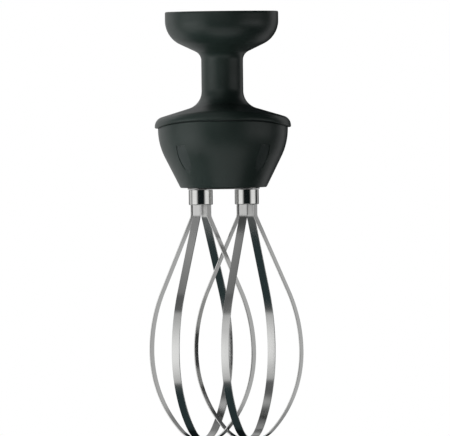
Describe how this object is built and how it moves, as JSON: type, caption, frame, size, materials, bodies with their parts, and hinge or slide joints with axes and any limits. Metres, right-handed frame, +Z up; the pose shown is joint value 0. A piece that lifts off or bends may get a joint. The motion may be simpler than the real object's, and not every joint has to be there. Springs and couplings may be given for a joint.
{
  "type": "twin whisk attachment for an immersion blender",
  "caption": "Black geared head with a motor cup, neck and bowl-shaped gear casing that drives interleaved flat-strip steel balloon whisks in opposite directions.",
  "frame": {"origin": "centre of the motor socket's mouth, in the plane of the cup's rim", "axes": "+Z up along the drive shaft, out of the motor socket; X through both whisk axes; whisks hang towards -Z; the picture looks along +Y"},
  "size_m": [0.1543, 0.1362, 0.43],
  "materials": {
    "black_housing": "satin moulded glass-filled nylon",
    "black_rubber": "matt nitrile rubber",
    "bright_chrome": "polished stainless steel",
    "spring_steel": "bright rolled stainless spring strip",
    "plain_steel": "turned or pressed steel",
    "bronze": "sintered bronze",
    "gear_plastic": "moulded acetal"
  },
  "bodies": {
    "housing": {"upper_housing": "black_housing", "gear_casing": "black_housing", "lid_gasket": "black_rubber", "bottom_plate": "plain_steel", "front_left_casing_screw": "plain_steel", "front_right_casing_screw": "plain_steel", "back_left_casing_screw": "plain_steel", "back_right_casing_screw": "plain_steel", "front_left_screw_plug": "black_rubber", "front_right_screw_plug": "black_rubber", "back_left_screw_plug": "black_rubber", "back_right_screw_plug": "black_rubber", "front_plate_screw": "plain_steel", "back_plate_screw": "plain_steel", "upper_shaft_bearing": "plain_steel", "lower_shaft_bearing": "plain_steel", "upper_bearing_clip": "plain_steel", "lower_bearing_clip": "plain_steel", "idler_pin": "plain_steel", "left_upper_bush": "bronze", "right_upper_bush": "bronze", "left_lower_bush": "bronze", "right_lower_bush": "bronze", "left_shaft_seal": "black_rubber", "right_shaft_seal": "black_rubber"},
    "drive": {"drive_shaft": "plain_steel", "drive_coupling": "plain_steel", "coupling_pin": "plain_steel", "input_pinion": "plain_steel", "pinion_clip": "plain_steel"},
    "idler": {"cluster_gear": "plain_steel"},
    "left_whisk": {"left_spindle": "plain_steel", "left_gear": "gear_plastic", "left_gear_key": "plain_steel", "left_gear_clip": "plain_steel", "left_spacer": "plain_steel", "left_ferrule": "bright_chrome", "left_outer_loop": "spring_steel", "left_inner_loop": "spring_steel"},
    "right_whisk": {"right_spindle": "plain_steel", "right_gear": "gear_plastic", "right_gear_key": "plain_steel", "right_gear_clip": "plain_steel", "right_spacer": "plain_steel", "right_ferrule": "bright_chrome", "right_outer_loop": "spring_steel", "right_inner_loop": "spring_steel"}
  },
  "joints": [
    {"name": "left_whisk_spin", "type": "hinge", "parent": "housing", "child": "left_whisk", "pos_m": [-0.023, 0, -0.186], "axis": [0, 0, 1], "continuous": true},
    {"name": "right_whisk_spin", "type": "hinge", "parent": "housing", "child": "right_whisk", "pos_m": [0.023, 0, -0.186], "axis": [0, 0, 1], "continuous": true},
    {"name": "cluster_spin", "type": "hinge", "parent": "housing", "child": "idler", "pos_m": [-0.00932, 0.02851, -0.115], "axis": [0, 0, 1], "continuous": true},
    {"name": "drive_spin", "type": "hinge", "parent": "housing", "child": "drive", "pos_m": [0, 0, -0.06], "axis": [0, 0, 1], "continuous": true}
  ],
  "couplings": [
    {"joint": "right_whisk_spin", "follows": "left_whisk_spin", "ratio": -1},
    {"joint": "cluster_spin", "follows": "left_whisk_spin", "ratio": -2.6667},
    {"joint": "drive_spin", "follows": "left_whisk_spin", "ratio": 8}
  ]
}
